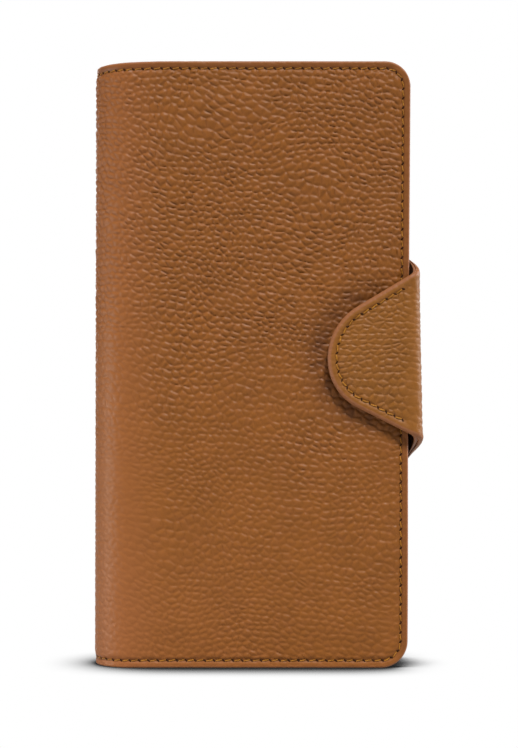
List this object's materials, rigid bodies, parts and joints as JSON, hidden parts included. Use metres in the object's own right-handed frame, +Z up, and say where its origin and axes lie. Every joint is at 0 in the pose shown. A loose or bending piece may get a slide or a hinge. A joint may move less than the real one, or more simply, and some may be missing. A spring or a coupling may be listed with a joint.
{
  "type": "long wallet",
  "caption": "Long bifold wallet that stands closed: padded pebbled leather covers, a rounded spine, a strap with a snap tab, card pockets, a bill compartment and a zipped coin pocket.",
  "frame": {"origin": "middle of the base of the closed wallet's box, where it stands on its short side", "axes": "+Z up along the wallet's length, -Y out of the front cover, -X towards the spine, +X towards the opening edge and the strap"},
  "size_m": [0.1032, 0.0298, 0.19],
  "materials": {
    "cover_leather": "pebbled, semi-matt",
    "strap_leather": "pebbled, semi-matt, painted edge",
    "pocket_leather": "fine grain, semi-matt",
    "strap_lining": "smooth, matt",
    "lining_fabric": "woven, matt",
    "thread": "waxed",
    "board": "matt",
    "padding": "matt foam",
    "zip_tape": "woven, matt",
    "gold_metal": "polished",
    "magnet": "satin"
  },
  "bodies": {
    "back_cover": {"back_leather": "cover_leather", "back_board": "board", "back_lining": "lining_fabric", "back_stitching": "thread", "bill_gusset_top": "pocket_leather", "bill_gusset_bottom": "pocket_leather", "bill_gusset_spine": "pocket_leather", "bill_wall": "pocket_leather", "back_card_pocket_1": "pocket_leather", "back_card_pocket_2": "pocket_leather", "back_card_pocket_3": "pocket_leather", "strap_root_leather": "strap_leather", "strap_root_lining": "strap_lining", "strap_root_stitching": "thread"},
    "spine_back": {"spine_leather_back": "cover_leather", "spine_lining_back": "lining_fabric", "spine_stitching_back": "thread"},
    "coin_page": {"spine_leather_mid": "cover_leather", "spine_lining_mid": "lining_fabric", "spine_stitching_mid": "thread", "coin_fold": "pocket_leather", "coin_wall_front": "pocket_leather", "coin_wall_back": "pocket_leather", "coin_gusset_top": "lining_fabric", "coin_gusset_bottom": "lining_fabric", "zip_tape_front": "zip_tape", "zip_tape_back": "zip_tape", "zip_teeth": "gold_metal", "zip_stops": "gold_metal"},
    "spine_front": {"spine_leather_front": "cover_leather", "spine_lining_front": "lining_fabric", "spine_stitching_front": "thread"},
    "front_cover": {"front_leather": "cover_leather", "front_padding": "padding", "front_board": "board", "front_lining": "lining_fabric", "front_stitching": "thread", "front_card_pocket_1": "pocket_leather", "front_card_pocket_2": "pocket_leather", "front_card_pocket_3": "pocket_leather", "snap_socket": "gold_metal", "snap_magnet": "magnet", "snap_washer": "gold_metal"},
    "strap_side": {"strap_side_leather": "strap_leather", "strap_side_lining": "strap_lining"},
    "strap_tab": {"tab_leather": "strap_leather", "tab_lining": "strap_lining", "tab_stitching": "thread", "snap_stud": "gold_metal"},
    "zip_slider": {"zip_slider": "gold_metal"},
    "zip_pull": {"zip_pull": "gold_metal"}
  },
  "joints": [
    {"name": "cover_fold_1", "type": "hinge", "parent": "back_cover", "child": "spine_back", "pos_m": [-0.04379, 0.01116, 0], "axis": [0, 0, -1], "range_deg": [0, 45]},
    {"name": "cover_fold_2", "type": "hinge", "parent": "spine_back", "child": "coin_page", "pos_m": [-0.05006, 0.00489, 0], "axis": [0, 0, -1], "range_deg": [0, 45]},
    {"name": "cover_fold_3", "type": "hinge", "parent": "coin_page", "child": "spine_front", "pos_m": [-0.05006, -0.00399, 0], "axis": [0, 0, -1], "range_deg": [0, 45]},
    {"name": "cover_fold_4", "type": "hinge", "parent": "spine_front", "child": "front_cover", "pos_m": [-0.04379, -0.01026, 0], "axis": [0, 0, -1], "range_deg": [0, 45]},
    {"name": "strap_fold_back", "type": "hinge", "parent": "back_cover", "child": "strap_side", "pos_m": [0.04993, 0.01293, 0.0975], "axis": [0, 0, 1], "range_deg": [0, 90]},
    {"name": "strap_fold_front", "type": "hinge", "parent": "strap_side", "child": "strap_tab", "pos_m": [0.04993, -0.01293, 0.0975], "axis": [0, 0, 1], "range_deg": [0, 90], "deforming": ["tab_leather", "tab_lining", "tab_stitching", "snap_stud"]},
    {"name": "zip_slide", "type": "slide", "parent": "coin_page", "child": "zip_slider", "axis": [0, 0, -1], "range_m": [0, 0.16], "deforming": ["zip_teeth"]},
    {"name": "pull_swing", "type": "hinge", "parent": "zip_slider", "child": "zip_pull", "pos_m": [0.04375, -0.0015, 0.17605], "axis": [0, -1, 0], "range_deg": [0, 150]}
  ],
  "couplings": [
    {"joint": "cover_fold_2", "follows": "cover_fold_1", "ratio": 1},
    {"joint": "cover_fold_3", "follows": "cover_fold_1", "ratio": 1},
    {"joint": "cover_fold_4", "follows": "cover_fold_1", "ratio": 1},
    {"joint": "strap_fold_front", "follows": "strap_fold_back", "ratio": 1}
  ]
}
